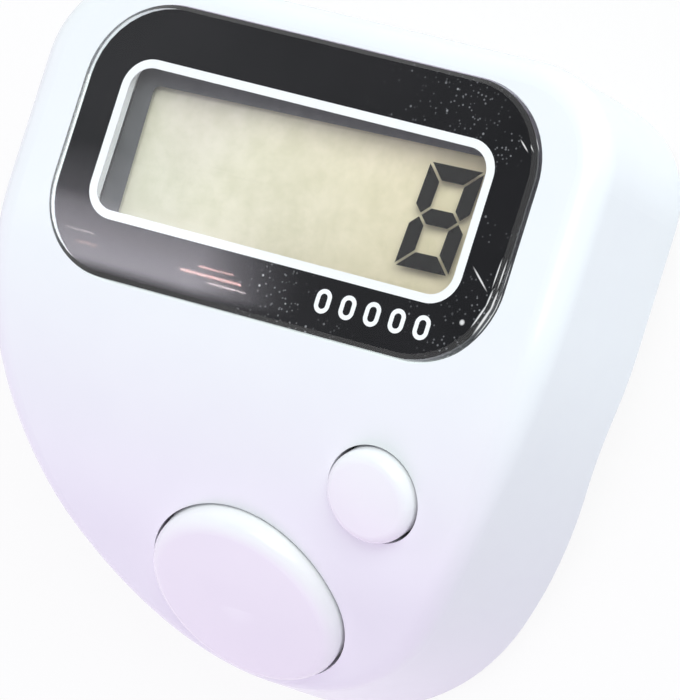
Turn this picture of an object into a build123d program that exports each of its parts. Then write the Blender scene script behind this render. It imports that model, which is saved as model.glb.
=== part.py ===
from math import asin, atan2, cos, degrees, radians, sin, tan
import os

from build123d import *

os.makedirs("parts", exist_ok=True)

# Housing outline, seen square to the display: u across, v up the display, w out of it
HOUSING_SIDE = 3.45
TOP_V = 6.9
TOP_CORNER_R = 5.8
KEY_END_L = 17.635
BOW_DEPTH = 21.9
TIP_RATIO = 0.885

# Housing in side view: a flat display end that arches down to the key end
TIP_T = 6.113
FACE_BEND_R = 20.5
FACE_SLOPE = 52.0
BACK_BEND_UP = 18.7
BACK_BEND_R = 8.0
BACK_SLOPE = 32.0
FACE_EDGE_R = 1.5
OVERRUN = 1.0
REST_LAND = 0.35

# Walls and fits
WALL = 1.6
COVER_T = 1.3
PARTING_GAP = 0.12
RIM_GAP = 0.15
RIM_T = 0.9
RIM_H = 1.2
LAYER_GAP = 0.02
KEY_GAP = 0.16
SCREW_GAP = 0.05
CLEAR = 0.3

# Lens and its seat
LENS_BORDER_U = 1.95
LENS_BORDER_V = 1.925
LENS_TOP = 1.815
LENS_R = 4.7
LENS_T = 1.0
LENS_PROUD = 0.6
LENS_GAP = 0.1
LENS_BEVEL = 0.25
ADHESIVE_T = 0.1
ADHESIVE_EDGE = 0.4
ADHESIVE_INSET = 0.5
WINDOW_LAP_U = 0.5
WINDOW_LAP_V = 1.25
WINDOW_R = 1.2
SEAT_LEDGE = 0.7

# Display panel
LCD_W = 23.8
LCD_H = 11.3
LCD_DROP = 0.16
GLASS_T = 0.55
FILM_T = 0.2
FILM_EDGE = 0.3
LEDGE = 1.5
LCD_RIB_T = 0.8
LCD_RIB_H = 1.2
LCD_RIB_GAP = 0.15
RIB_BREAK_W = 16.0
RIB_BREAK_H = 6.0
ZEBRA_INSET = 1.4
ZEBRA_T = 1.2
CUSHION_INSET = 1.9
CUSHION_T = 1.6

# Circuit board under the display
BOARD_INSET = 0.3
BOARD_GAP = 1.6
BOARD_SPACE = 2.5
BOARD_R = 1.0
BOARD_T = 0.8
POST_R = 1.2
POST_INSET = 2.0
POST_UP = 1.4
POST_DOWN = 1.0
BLOB_U = 6.6
BLOB_UP = 0.15
BLOB_R = 2.9
BLOB_H = 1.1
BLOB_TAPER = 30.0
CHIP_L = 1.6
CHIP_S = 0.8
CHIP_DOWN = 2.4
CAPACITOR_U = 5.4
RESISTOR_U = 8.4

# Battery
CELL_R = 5.8
CELL_T = 2.05
CELL_CAP_R = 4.7
CELL_CAP_T = 0.35
CELL_U = -4.4
CELL_UP = 0.05
CELL_ROOM = 0.18
CONTACT_SPACE = 0.35
STRIP_T = 0.2
CLIP_W = 4.0
CLIP_REACH = 6.3
CLIP_FOOT = 0.8
LEAF_T = 0.12
LEAF_W = 3.0
LEAF_L = 5.0
LEAF_RISE = 0.14

# Keys
COUNT_EDGE = 4.1
COUNT_HOLE_R = 5.95
COUNT_RISE = 1.2
COUNT_SHOULDER = 0.9
COUNT_LUG_W = 4.6
RESET_U = 8.6
RESET_UP = 6.53
RESET_HOLE_R = 2.75
RESET_RISE = 0.9
RESET_SHOULDER = 0.7
RESET_LUG_W = 2.0
LUG_LAP = 0.5
KEY_RIM = 0.1
KEY_SKIN = 1.0
LUG_GAP = 0.1
LUG_T = 0.7
COUNT_STEM_R = 1.6
RESET_STEM_R = 1.1
STEM_GAP = 0.32

# Switch board and rubber domes
SWITCH_DROP = 4.4
SWITCH_SLOPE = 42.0
SWITCH_MARGIN = 0.2
SWITCH_DOWN = 2.4
SWITCH_UP = 9.6
SWITCH_CORNER = 3.2
SWITCH_POST_U = 8.3
SWITCH_POST_Y = 1.6
SWITCH_POST_R = 1.1
DOME_R = 3.2
DOME_H = 2.0
DOME_BASE_T = 0.5
DOME_LIP = 0.6
DOME_TOP_R = 1.5
DOME_SKIN = 0.4
DOME_TOP_T = 0.6
RESET_DOME_SCALE = 0.72
PILL_R = 1.0
PILL_T = 0.3
RIBBON_W = 6.0
RIBBON_T = 0.15
RIBBON_LEAD = 2.6
RIBBON_BEND_R = 0.9

# Screws
COVER_SCREW_DOWN = 4.1
COVER_SCREW_SPAN = 11.6
COVER_BOSS_R = 1.7
COVER_BOSS_GAP = 0.15
COVER_SCREW_R = 0.8
COVER_SCREW_L = 5.0
COVER_HEAD_R = 1.45
COVER_HEAD_T = 0.7
COVER_SEAT = 0.78
BOARD_SCREW_R = 0.55
BOARD_SCREW_L = 2.8
BOARD_HEAD_R = 1.05
BOARD_HEAD_T = 0.55
RECESS_W = 0.25
RECESS_D = 0.35

# Strap slots in the rear cover
STRAP_SLOT_L = 12.0
STRAP_SLOT_W = 1.7
STRAP_DOWN = 3.5
STRAP_UP = 4.1

# Sizes and levels worked out from the display outwards
LENS_W = LCD_W + 2 * LENS_BORDER_U
LENS_H = LCD_H + 2 * LENS_BORDER_V
LENS_V = TOP_V - LENS_TOP - LENS_H / 2
LCD_V = LENS_V - LCD_DROP
BOTTOM_V = LENS_V - LENS_H / 2 - KEY_END_L
BOW_V = BOTTOM_V + BOW_DEPTH
COUNT_V = BOTTOM_V + COUNT_EDGE
RESET_V = COUNT_V + RESET_UP
SWITCH_TOP_V = COUNT_V + SWITCH_DROP * sin(radians(FACE_SLOPE)) + SWITCH_UP * cos(radians(SWITCH_SLOPE))
WINDOW_W = LCD_W - 2 * WINDOW_LAP_U
WINDOW_H = LCD_H - 2 * WINDOW_LAP_V
HALF_WIDTH = LENS_W / 2 + HOUSING_SIDE
LENS_BACK_W = LENS_PROUD - LENS_T
SEAT_W = LENS_BACK_W - ADHESIVE_T
POCKET_W = SEAT_W - SEAT_LEDGE
LCD_W_LEVEL = POCKET_W - LAYER_GAP
FRONT_GLASS_W = LCD_W_LEVEL - FILM_T - LAYER_GAP
REAR_GLASS_W = FRONT_GLASS_W - GLASS_T - LAYER_GAP
REFLECTOR_W = REAR_GLASS_W - GLASS_T - LAYER_GAP
PANEL_BACK_W = REFLECTOR_W - FILM_T - LAYER_GAP
BOARD_W = LCD_W - 2 * BOARD_INSET
BOARD_TOP_V = TOP_V - WALL - CLEAR
BOARD_BOTTOM_V = SWITCH_TOP_V + BOARD_GAP
BOARD_W_LEVEL = PANEL_BACK_W - BOARD_SPACE
BOARD_BACK_W = BOARD_W_LEVEL - BOARD_T
POST_SIDE_U = BOARD_W / 2 - POST_INSET
POST_SIDE_V = BOARD_BOTTOM_V + POST_UP
POST_TOP_V = BOARD_TOP_V - POST_DOWN
CHIP_V = BOARD_TOP_V - CHIP_DOWN
BLOB_V = LCD_V + BLOB_UP
CELL_V = LCD_V + CELL_UP
CELL_TOP_W = BOARD_BACK_W - CONTACT_SPACE
CELL_LOW_W = CELL_TOP_W - CELL_T
DEPTH = COVER_T + CELL_ROOM + STRIP_T + LAYER_GAP - CELL_LOW_W
COVER_INNER_W = -DEPTH + COVER_T
SCREW_SEAT_W = -DEPTH + COVER_SEAT
COVER_SCREW_U = LCD_W / 2 + LCD_RIB_GAP + COVER_BOSS_GAP + COVER_BOSS_R
COVER_SCREW_TOP_V = TOP_V - COVER_SCREW_DOWN
COVER_SCREW_LOW_V = COVER_SCREW_TOP_V - COVER_SCREW_SPAN

# Outline, arch and planes of the housing
TIP_R = TIP_RATIO * HALF_WIDTH
TIP_V = BOTTOM_V + TIP_R
SIDE_R = (HALF_WIDTH**2 + BOW_DEPTH**2 - 2 * BOW_DEPTH * TIP_R) / (2 * (HALF_WIDTH - TIP_R))
SIDE_TURN = degrees(atan2(BOW_DEPTH - TIP_R, SIDE_R - HALF_WIDTH))
END_V = BOTTOM_V - OVERRUN
START_V = TOP_V + OVERRUN
BACK_BEND_V = BOTTOM_V + BACK_BEND_UP
BACK_END_V = BACK_BEND_V - BACK_BEND_R * sin(radians(BACK_SLOPE))
BACK_END_W = -DEPTH - BACK_BEND_R * (1 - cos(radians(BACK_SLOPE)))
BACK_LOW_W = BACK_END_W - (BACK_END_V - BOTTOM_V) * tan(radians(BACK_SLOPE))
FACE_DROP = FACE_BEND_R * (1 - cos(radians(FACE_SLOPE)))
FACE_TAIL = -(BACK_LOW_W + TIP_T + FACE_DROP) / tan(radians(FACE_SLOPE))
FACE_BEND_V = BOTTOM_V + FACE_TAIL + FACE_BEND_R * sin(radians(FACE_SLOPE))
TILT = atan2(-DEPTH - BACK_LOW_W, TOP_V - BOTTOM_V)
LAND_W = BACK_LOW_W + REST_LAND / cos(TILT)
TOP_REACH = (TOP_V - FACE_EDGE_R) * cos(TILT) - FACE_EDGE_R * sin(TILT) + FACE_EDGE_R
LOW_REACH = BOTTOM_V * cos(TILT) + LAND_W * sin(TILT)
FACE_Y = -(TOP_REACH + LOW_REACH) / 2
FACE_Z = TOP_V * sin(TILT) + DEPTH * cos(TILT) - REST_LAND
FACE = Plane(origin=(0, FACE_Y, FACE_Z), x_dir=(1, 0, 0), z_dir=(0, sin(TILT), cos(TILT)))
SIDE = Plane(origin=FACE.origin, x_dir=FACE.y_dir, z_dir=FACE.x_dir)
PLAN = FACE.offset(BACK_LOW_W - OVERRUN)
PRISM_H = OVERRUN - BACK_LOW_W + OVERRUN
CREST = cos(radians(FACE_SLOPE)) / 2
STRAP_TOP_V = TOP_V - STRAP_DOWN
STRAP_LOW_V = BOTTOM_V + STRAP_UP
SWITCH_HALF_W = RESET_U + DOME_R * RESET_DOME_SCALE + SWITCH_MARGIN


def face_plane(u, v):
    """Plane on the housing face at (u, v), its normal square to the face there"""
    bend = max(FACE_BEND_V - v, 0.0) / FACE_BEND_R
    slope = min(asin(min(bend, 1.0)), radians(FACE_SLOPE))
    past = max(bend - sin(slope), 0.0) * FACE_BEND_R
    w = -FACE_BEND_R * (1 - cos(slope)) - past * tan(slope)
    return Plane(FACE.location * Location((u, v, w), (degrees(slope), 0, 0)))


def arch(bend_v, radius, slope, level):
    """Side line of a face: straight, a bend, then straight past the lower end"""
    flat = Line((START_V, level), (bend_v, level))
    turn = JernArc(flat @ 1, (-1, 0), radius, slope)
    run = ((turn @ 1).X - END_V) / cos(radians(slope))
    tail = Line(turn @ 1, turn @ 1 + (turn % 1) * run)
    return flat @ 0, tail @ 1


def face_arch(inset):
    """Face line moved into the housing"""
    return arch(FACE_BEND_V, FACE_BEND_R - inset, FACE_SLOPE, -inset)


def back_arch(inset):
    """Back line moved into the housing"""
    return arch(BACK_BEND_V, BACK_BEND_R + inset, BACK_SLOPE, inset - DEPTH)


def band(upper, lower):
    """Side section between two lines"""
    Line(upper[0], lower[0])
    Line(upper[1], lower[1])


def outline(inset):
    """Housing outline moved inwards: flat top, bowed sides and a round lower end"""
    half = HALF_WIDTH - inset
    corner_u = HALF_WIDTH - TOP_CORNER_R
    corner_v = TOP_V - TOP_CORNER_R
    Line((corner_u, TOP_V - inset), (-corner_u, TOP_V - inset))
    CenterArc((-corner_u, corner_v), TOP_CORNER_R - inset, 90, 90)
    Line((-half, corner_v), (-half, BOW_V))
    CenterArc((SIDE_R - HALF_WIDTH, BOW_V), SIDE_R - inset, 180, SIDE_TURN)
    CenterArc((0, TIP_V), TIP_R - inset, 180 + SIDE_TURN, 180 - 2 * SIDE_TURN)
    CenterArc((HALF_WIDTH - SIDE_R, BOW_V), SIDE_R - inset, -SIDE_TURN, SIDE_TURN)
    Line((half, BOW_V), (half, corner_v))
    CenterArc((corner_u, corner_v), TOP_CORNER_R - inset, 0, 90)


COUNT = face_plane(0, COUNT_V)
RESET = face_plane(RESET_U, RESET_V)
SWITCH_TURN = SWITCH_SLOPE - FACE_SLOPE
SWITCH = Plane(COUNT.location * Location((0, 0, -SWITCH_DROP), (SWITCH_TURN, 0, 0)))
RESET_LEAN = RESET.z_dir.dot(SWITCH.z_dir)
RESET_DROP = (RESET.origin - SWITCH.origin).dot(SWITCH.z_dir) / RESET_LEAN
RESET_SPOT = SWITCH.to_local_coords(RESET.origin - RESET.z_dir * RESET_DROP)
COVER_SCREWS = [(s * COVER_SCREW_U, v) for s in (1, -1) for v in (COVER_SCREW_TOP_V, COVER_SCREW_LOW_V)]
BOARD_POSTS = [(POST_SIDE_U, POST_SIDE_V), (-POST_SIDE_U, POST_SIDE_V), (0, POST_TOP_V)]
SWITCH_POSTS = [(SWITCH_POST_U, SWITCH_POST_Y), (-SWITCH_POST_U, SWITCH_POST_Y)]

BOARD_SCREWS = [
    (FACE.offset(BOARD_BACK_W - LAYER_GAP), BOARD_POSTS),
    (SWITCH.offset(-BOARD_T - LAYER_GAP), SWITCH_POSTS),
]

# Hollow of the housing, open at the back
with BuildPart() as hollow:
    with BuildSketch(PLAN):
        with BuildLine():
            outline(WALL)
        make_face()
    extrude(amount=PRISM_H)
    with BuildSketch(SIDE):
        with BuildLine():
            band(face_arch(WALL), back_arch(-OVERRUN))
        make_face()
    extrude(amount=HALF_WIDTH, both=True, mode=Mode.INTERSECT)

# Step in the rear edge of the wall that takes the cover
with BuildPart() as rebate:
    with BuildSketch(PLAN):
        with BuildLine():
            outline(WALL / 2)
        make_face()
    extrude(amount=PRISM_H)
    with BuildSketch(SIDE):
        with BuildLine():
            band(back_arch(COVER_T + PARTING_GAP), back_arch(-OVERRUN))
        make_face()
    extrude(amount=HALF_WIDTH, both=True, mode=Mode.INTERSECT)

# Screw bosses, board posts and display ribs, trimmed to the middle of the face wall
with BuildPart() as supports:
    with BuildSketch(FACE.offset(COVER_INNER_W)):
        with Locations(*COVER_SCREWS):
            Circle(COVER_BOSS_R)
    extrude(amount=-COVER_INNER_W)
    with BuildSketch(FACE.offset(BOARD_W_LEVEL)):
        with Locations(*BOARD_POSTS):
            Circle(POST_R)
    extrude(amount=-BOARD_W_LEVEL)
    with BuildSketch(FACE.offset(LCD_W_LEVEL - LCD_RIB_H)):
        with Locations((0, LCD_V)):
            Rectangle(LCD_W + 2 * (LCD_RIB_GAP + LCD_RIB_T), LCD_H + 2 * (LCD_RIB_GAP + LCD_RIB_T))
            Rectangle(LCD_W + 2 * LCD_RIB_GAP, LCD_H + 2 * LCD_RIB_GAP, mode=Mode.SUBTRACT)
            Rectangle(RIB_BREAK_W, 2 * LCD_H, mode=Mode.SUBTRACT)
            Rectangle(2 * LCD_W, RIB_BREAK_H, mode=Mode.SUBTRACT)
    extrude(amount=LCD_RIB_H - LCD_W_LEVEL)
    with BuildSketch(SWITCH):
        with Locations(*SWITCH_POSTS):
            Circle(SWITCH_POST_R)
    extrude(amount=2 * SWITCH_DROP)
    with BuildSketch(PLAN):
        with BuildLine():
            outline(WALL / 2)
        make_face()
    extrude(amount=PRISM_H, mode=Mode.INTERSECT)
    with BuildSketch(SIDE):
        with BuildLine():
            band(face_arch(WALL / 2), back_arch(COVER_T))
        make_face()
    extrude(amount=HALF_WIDTH, both=True, mode=Mode.INTERSECT)

# Front case: arched shell with lens seat, window, key holes, bosses, posts and two rest lands
with BuildPart() as front_case:
    with BuildSketch(PLAN):
        with BuildLine():
            outline(0)
        make_face()
    extrude(amount=PRISM_H)
    with BuildSketch(SIDE):
        with BuildLine():
            band(face_arch(0), back_arch(0))
        make_face()
    extrude(amount=2 * HALF_WIDTH, both=True, mode=Mode.INTERSECT)
    face_skin = front_case.faces().filter_by(lambda f: f.normal_at().dot(FACE.z_dir) > CREST)
    rims = [e for f in face_skin for e in f.edges()]
    fillet([e for e in rims if sum(e.is_same(o) for o in rims) == 1], FACE_EDGE_R)
    add(hollow.part, mode=Mode.SUBTRACT)
    add(rebate.part, mode=Mode.SUBTRACT)
    add(supports.part)
    with BuildSketch(FACE.offset(SEAT_W)):
        with Locations((0, LENS_V)):
            RectangleRounded(LENS_W + 2 * LENS_GAP, LENS_H + 2 * LENS_GAP, LENS_R + LENS_GAP)
    extrude(amount=OVERRUN, mode=Mode.SUBTRACT)
    with BuildSketch(FACE):
        with Locations((0, LENS_V)):
            RectangleRounded(WINDOW_W, WINDOW_H, WINDOW_R)
    extrude(amount=POCKET_W, mode=Mode.SUBTRACT)
    with BuildSketch(FACE.offset(POCKET_W)):
        with Locations((0, LCD_V)):
            Rectangle(LCD_W + 2 * LCD_RIB_GAP, LCD_H + 2 * LCD_RIB_GAP)
    extrude(amount=PANEL_BACK_W - POCKET_W, mode=Mode.SUBTRACT)
    with BuildSketch(COUNT.offset(-SWITCH_DROP / 2)):
        Circle(COUNT_HOLE_R)
    extrude(amount=SWITCH_DROP, mode=Mode.SUBTRACT)
    with BuildSketch(RESET.offset(-SWITCH_DROP / 2)):
        Circle(RESET_HOLE_R)
    extrude(amount=SWITCH_DROP, mode=Mode.SUBTRACT)
    with BuildSketch(FACE.offset(COVER_INNER_W)):
        with Locations(*COVER_SCREWS):
            Circle(COVER_SCREW_R + SCREW_GAP)
    extrude(amount=COVER_SCREW_L, mode=Mode.SUBTRACT)
    with BuildSketch(FACE.offset(BOARD_W_LEVEL)):
        with Locations(*BOARD_POSTS):
            Circle(BOARD_SCREW_R + SCREW_GAP)
    extrude(amount=BOARD_SCREW_L, mode=Mode.SUBTRACT)
    with BuildSketch(SWITCH):
        with Locations(*SWITCH_POSTS):
            Circle(BOARD_SCREW_R + SCREW_GAP)
    extrude(amount=BOARD_SCREW_L, mode=Mode.SUBTRACT)
    with BuildSketch(Plane.XY):
        Rectangle(4 * HALF_WIDTH, 4 * HALF_WIDTH)
    extrude(amount=-2 * REST_LAND, mode=Mode.SUBTRACT)
front_case.part.label = "front_case"
export_step(front_case.part, "parts/front_case.step")

# Locating rim of the rear cover, broken at the screw bosses
with BuildPart() as cover_rim:
    with BuildSketch(PLAN):
        with BuildLine():
            outline(WALL + RIM_GAP)
        make_face()
        with BuildLine():
            outline(WALL + RIM_GAP + RIM_T)
        make_face(mode=Mode.SUBTRACT)
    extrude(amount=PRISM_H)
    with BuildSketch(SIDE):
        with BuildLine():
            band(back_arch(COVER_T + RIM_H), back_arch(COVER_T / 2))
        make_face()
    extrude(amount=2 * HALF_WIDTH, both=True, mode=Mode.INTERSECT)
    with BuildSketch(FACE.offset(-DEPTH)):
        with Locations(*COVER_SCREWS):
            Circle(COVER_BOSS_R + CLEAR)
    extrude(amount=DEPTH, mode=Mode.SUBTRACT)

# Rear cover: arched plate inside the wall, with locating rim, screw seats and strap slots
with BuildPart() as rear_cover:
    with BuildSketch(PLAN):
        with BuildLine():
            outline(WALL / 2 + RIM_GAP)
        make_face()
    extrude(amount=PRISM_H)
    with BuildSketch(SIDE):
        with BuildLine():
            band(back_arch(COVER_T), back_arch(0))
        make_face()
    extrude(amount=2 * HALF_WIDTH, both=True, mode=Mode.INTERSECT)
    add(cover_rim.part)
    with BuildSketch(FACE.offset(-DEPTH - COVER_T)):
        with Locations(*COVER_SCREWS):
            Circle(COVER_HEAD_R + SCREW_GAP)
    extrude(amount=COVER_T + COVER_SEAT, mode=Mode.SUBTRACT)
    with BuildSketch(FACE.offset(-DEPTH)):
        with Locations(*COVER_SCREWS):
            Circle(COVER_SCREW_R + 2 * SCREW_GAP)
    extrude(amount=COVER_T, mode=Mode.SUBTRACT)
    with BuildSketch(PLAN):
        with Locations((0, STRAP_TOP_V), (0, STRAP_LOW_V)):
            SlotOverall(STRAP_SLOT_L, STRAP_SLOT_W)
    extrude(amount=PRISM_H, mode=Mode.SUBTRACT)
    with BuildSketch(Plane.XY):
        Rectangle(4 * HALF_WIDTH, 4 * HALF_WIDTH)
    extrude(amount=-2 * REST_LAND, mode=Mode.SUBTRACT)
rear_cover.part.label = "rear_cover"
export_step(rear_cover.part, "parts/rear_cover.step")

# Clear lens plate, proud of the face, with a bevelled front edge
with BuildPart() as lens:
    with BuildSketch(FACE.offset(LENS_BACK_W)):
        with Locations((0, LENS_V)):
            RectangleRounded(LENS_W, LENS_H, LENS_R)
    extrude(amount=LENS_T)
    chamfer(lens.faces().sort_by(lambda f: FACE.to_local_coords(f.center()).Z)[-1].edges(), LENS_BEVEL)
lens.part.label = "lens"
export_step(lens.part, "parts/lens.step")

# Adhesive frame under the lens
with BuildPart() as lens_adhesive:
    with BuildSketch(FACE.offset(SEAT_W + LAYER_GAP)):
        with Locations((0, LENS_V)):
            RectangleRounded(LENS_W - 2 * ADHESIVE_EDGE, LENS_H - 2 * ADHESIVE_EDGE, LENS_R - ADHESIVE_EDGE)
            RectangleRounded(
                WINDOW_W + 2 * ADHESIVE_INSET,
                WINDOW_H + 2 * ADHESIVE_INSET,
                WINDOW_R + ADHESIVE_INSET,
                mode=Mode.SUBTRACT,
            )
    extrude(amount=ADHESIVE_T - 2 * LAYER_GAP)
lens_adhesive.part.label = "lens_adhesive"
export_step(lens_adhesive.part, "parts/lens_adhesive.step")

# Front polariser film of the display
with BuildPart() as lcd_front_film:
    with BuildSketch(FACE.offset(LCD_W_LEVEL - FILM_T)):
        with Locations((0, LCD_V)):
            Rectangle(LCD_W - 2 * FILM_EDGE, LCD_H - 2 * FILM_EDGE)
    extrude(amount=FILM_T)
lcd_front_film.part.label = "lcd_front_film"
export_step(lcd_front_film.part, "parts/lcd_front_film.step")

# Front glass of the display, longer at the contact ledge
with BuildPart() as lcd_front_glass:
    with BuildSketch(FACE.offset(FRONT_GLASS_W - GLASS_T)):
        with Locations((0, LCD_V)):
            Rectangle(LCD_W, LCD_H)
    extrude(amount=GLASS_T)
lcd_front_glass.part.label = "lcd_front_glass"
export_step(lcd_front_glass.part, "parts/lcd_front_glass.step")

# Rear glass of the display, short of the contact ledge
with BuildPart() as lcd_rear_glass:
    with BuildSketch(FACE.offset(REAR_GLASS_W - GLASS_T)):
        with Locations((0, LCD_V + LEDGE / 2)):
            Rectangle(LCD_W, LCD_H - LEDGE)
    extrude(amount=GLASS_T)
lcd_rear_glass.part.label = "lcd_rear_glass"
export_step(lcd_rear_glass.part, "parts/lcd_rear_glass.step")

# Reflector film behind the display
with BuildPart() as lcd_reflector:
    with BuildSketch(FACE.offset(REFLECTOR_W - FILM_T)):
        with Locations((0, LCD_V + LEDGE / 2)):
            Rectangle(LCD_W - 2 * FILM_EDGE, LCD_H - LEDGE - 2 * FILM_EDGE)
    extrude(amount=FILM_T)
lcd_reflector.part.label = "lcd_reflector"
export_step(lcd_reflector.part, "parts/lcd_reflector.step")

# Contact strip from the glass ledge to the board
with BuildPart() as contact_strip:
    with BuildSketch(FACE.offset(BOARD_W_LEVEL + LAYER_GAP)):
        with Locations((0, LCD_V - LCD_H / 2 + LEDGE / 2)):
            Rectangle(LCD_W - 2 * ZEBRA_INSET, ZEBRA_T)
    extrude(amount=REAR_GLASS_W - BOARD_W_LEVEL - LAYER_GAP)
contact_strip.part.label = "contact_strip"
export_step(contact_strip.part, "parts/contact_strip.step")

# Foam cushion holding the upper side of the display
with BuildPart() as lcd_cushion:
    with BuildSketch(FACE.offset(BOARD_W_LEVEL + LAYER_GAP)):
        with Locations((0, LCD_V + LCD_H / 2 - CUSHION_T)):
            Rectangle(LCD_W - 2 * CUSHION_INSET, CUSHION_T)
    extrude(amount=PANEL_BACK_W - BOARD_W_LEVEL - LAYER_GAP)
lcd_cushion.part.label = "lcd_cushion"
export_step(lcd_cushion.part, "parts/lcd_cushion.step")

# Main circuit board
with BuildPart() as main_board:
    with BuildSketch(FACE.offset(BOARD_BACK_W)):
        with Locations((0, (BOARD_TOP_V + BOARD_BOTTOM_V) / 2)):
            RectangleRounded(BOARD_W, BOARD_TOP_V - BOARD_BOTTOM_V, BOARD_R)
        with Locations(*BOARD_POSTS):
            Circle(BOARD_SCREW_R + 2 * SCREW_GAP, mode=Mode.SUBTRACT)
    extrude(amount=BOARD_T - LAYER_GAP)
main_board.part.label = "main_board"
export_step(main_board.part, "parts/main_board.step")

# Moulded blob over the bonded chip
with BuildPart() as chip_blob:
    blob_plane = Plane(FACE.location * Location((BLOB_U, BLOB_V, BOARD_BACK_W - LAYER_GAP), (180, 0, 0)))
    with BuildSketch(blob_plane):
        Circle(BLOB_R)
    extrude(amount=BLOB_H, taper=BLOB_TAPER)
    blob_top = chip_blob.faces().sort_by(lambda f: blob_plane.to_local_coords(f.center()).Z)[-1]
    fillet(blob_top.edges(), BLOB_H / 2)
chip_blob.part.label = "chip_blob"
export_step(chip_blob.part, "parts/chip_blob.step")

# Chip capacitor
with BuildPart() as capacitor:
    with BuildSketch(FACE.offset(BOARD_BACK_W - LAYER_GAP)):
        with Locations((CAPACITOR_U, CHIP_V)):
            Rectangle(CHIP_L, CHIP_S)
    extrude(amount=-CHIP_S)
capacitor.part.label = "capacitor"
export_step(capacitor.part, "parts/capacitor.step")

# Chip resistor
with BuildPart() as resistor:
    with BuildSketch(FACE.offset(BOARD_BACK_W - LAYER_GAP)):
        with Locations((RESISTOR_U, CHIP_V)):
            Rectangle(CHIP_L, CHIP_S)
    extrude(amount=-CHIP_S / 2)
resistor.part.label = "resistor"
export_step(resistor.part, "parts/resistor.step")

# Button cell with its smaller negative cap towards the board
with BuildPart() as battery_cell:
    with BuildSketch(FACE.offset(CELL_LOW_W)):
        with Locations((CELL_U, CELL_V)):
            Circle(CELL_R)
    extrude(amount=CELL_T - CELL_CAP_T)
    fillet(battery_cell.edges().sort_by(lambda e: FACE.to_local_coords(e.center()).Z)[0], CELL_CAP_T)
    with BuildSketch(FACE.offset(CELL_TOP_W - CELL_CAP_T)):
        with Locations((CELL_U, CELL_V)):
            Circle(CELL_CAP_R)
    extrude(amount=CELL_CAP_T)
battery_cell.part.label = "battery_cell"
export_step(battery_cell.part, "parts/battery_cell.step")

# Positive strap over the cell, its feet on the board
with BuildPart() as battery_clip:
    clip_low = CELL_LOW_W - LAYER_GAP - STRIP_T / 2
    clip_high = BOARD_BACK_W - LAYER_GAP - STRIP_T / 2
    clip_plane = Plane(FACE.location * Location((CELL_U, CELL_V, 0), (90, 0, 0)))
    with BuildSketch(clip_plane):
        with BuildLine() as clip_line:
            Polyline(
                (-CLIP_REACH - CLIP_FOOT, clip_high),
                (-CLIP_REACH, clip_high),
                (-CLIP_REACH, clip_low),
                (CLIP_REACH, clip_low),
                (CLIP_REACH, clip_high),
                (CLIP_REACH + CLIP_FOOT, clip_high),
            )
        trace(clip_line.line, STRIP_T)
    extrude(amount=CLIP_W / 2, both=True)
battery_clip.part.label = "battery_clip"
export_step(battery_clip.part, "parts/battery_clip.step")

# Negative leaf between the board and the cell
with BuildPart() as battery_leaf:
    leaf_high = BOARD_BACK_W - LAYER_GAP - LEAF_T / 2
    leaf_plane = Plane(FACE.location * Location((CELL_U, CELL_V, 0), (90, 0, 0)))
    with BuildSketch(leaf_plane):
        with BuildLine() as leaf_line:
            Polyline(
                (-LEAF_L / 2, leaf_high),
                (0, leaf_high),
                (LEAF_L / 4, leaf_high - LEAF_RISE),
                (LEAF_L / 2, leaf_high - LEAF_RISE),
            )
        trace(leaf_line.line, LEAF_T)
    extrude(amount=LEAF_W / 2, both=True)
battery_leaf.part.label = "battery_leaf"
export_step(battery_leaf.part, "parts/battery_leaf.step")

# Switch board under both keys, its lower corners cut off
with BuildPart() as switch_board:
    with BuildSketch(SWITCH.offset(-BOARD_T)) as switch_outline:
        with Locations((0, (SWITCH_UP - SWITCH_DOWN) / 2)):
            Rectangle(2 * SWITCH_HALF_W, SWITCH_UP + SWITCH_DOWN)
        chamfer(switch_outline.vertices().group_by(Axis.Y)[0], SWITCH_CORNER)
        with Locations(*SWITCH_POSTS):
            Circle(BOARD_SCREW_R + 2 * SCREW_GAP, mode=Mode.SUBTRACT)
    extrude(amount=BOARD_T - LAYER_GAP)
switch_board.part.label = "switch_board"
export_step(switch_board.part, "parts/switch_board.step")

# Flat ribbon joining the two boards
with BuildPart() as switch_ribbon:
    ribbon_w = BOARD_BACK_W - LAYER_GAP - RIBBON_T / 2
    ribbon_drop = -BOARD_T - LAYER_GAP - RIBBON_T / 2
    ribbon_bend = FACE.to_local_coords(SWITCH.from_local_coords((0, SWITCH_UP, ribbon_drop)))
    ribbon_end = FACE.to_local_coords(SWITCH.from_local_coords((0, SWITCH_UP - RIBBON_LEAD, ribbon_drop)))
    ribbon_run = (ribbon_bend.Z - ribbon_w) / (ribbon_bend.Z - ribbon_end.Z)
    ribbon_meet = ribbon_bend + (ribbon_end - ribbon_bend) * ribbon_run
    with BuildSketch(SIDE):
        with BuildLine() as ribbon_line:
            FilletPolyline(
                (BOARD_BOTTOM_V + RIBBON_LEAD, ribbon_w),
                (ribbon_meet.Y, ribbon_w),
                (ribbon_end.Y, ribbon_end.Z),
                radius=RIBBON_BEND_R,
            )
        trace(ribbon_line.line, RIBBON_T)
    extrude(amount=RIBBON_W / 2, both=True)
switch_ribbon.part.label = "switch_ribbon"
export_step(switch_ribbon.part, "parts/switch_ribbon.step")


def section(plane, x, y):
    """Plane through a local axis of another plane, for turned pieces"""
    return Plane(origin=plane.from_local_coords((x, y, 0)), x_dir=plane.x_dir, z_dir=-plane.y_dir)


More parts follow.
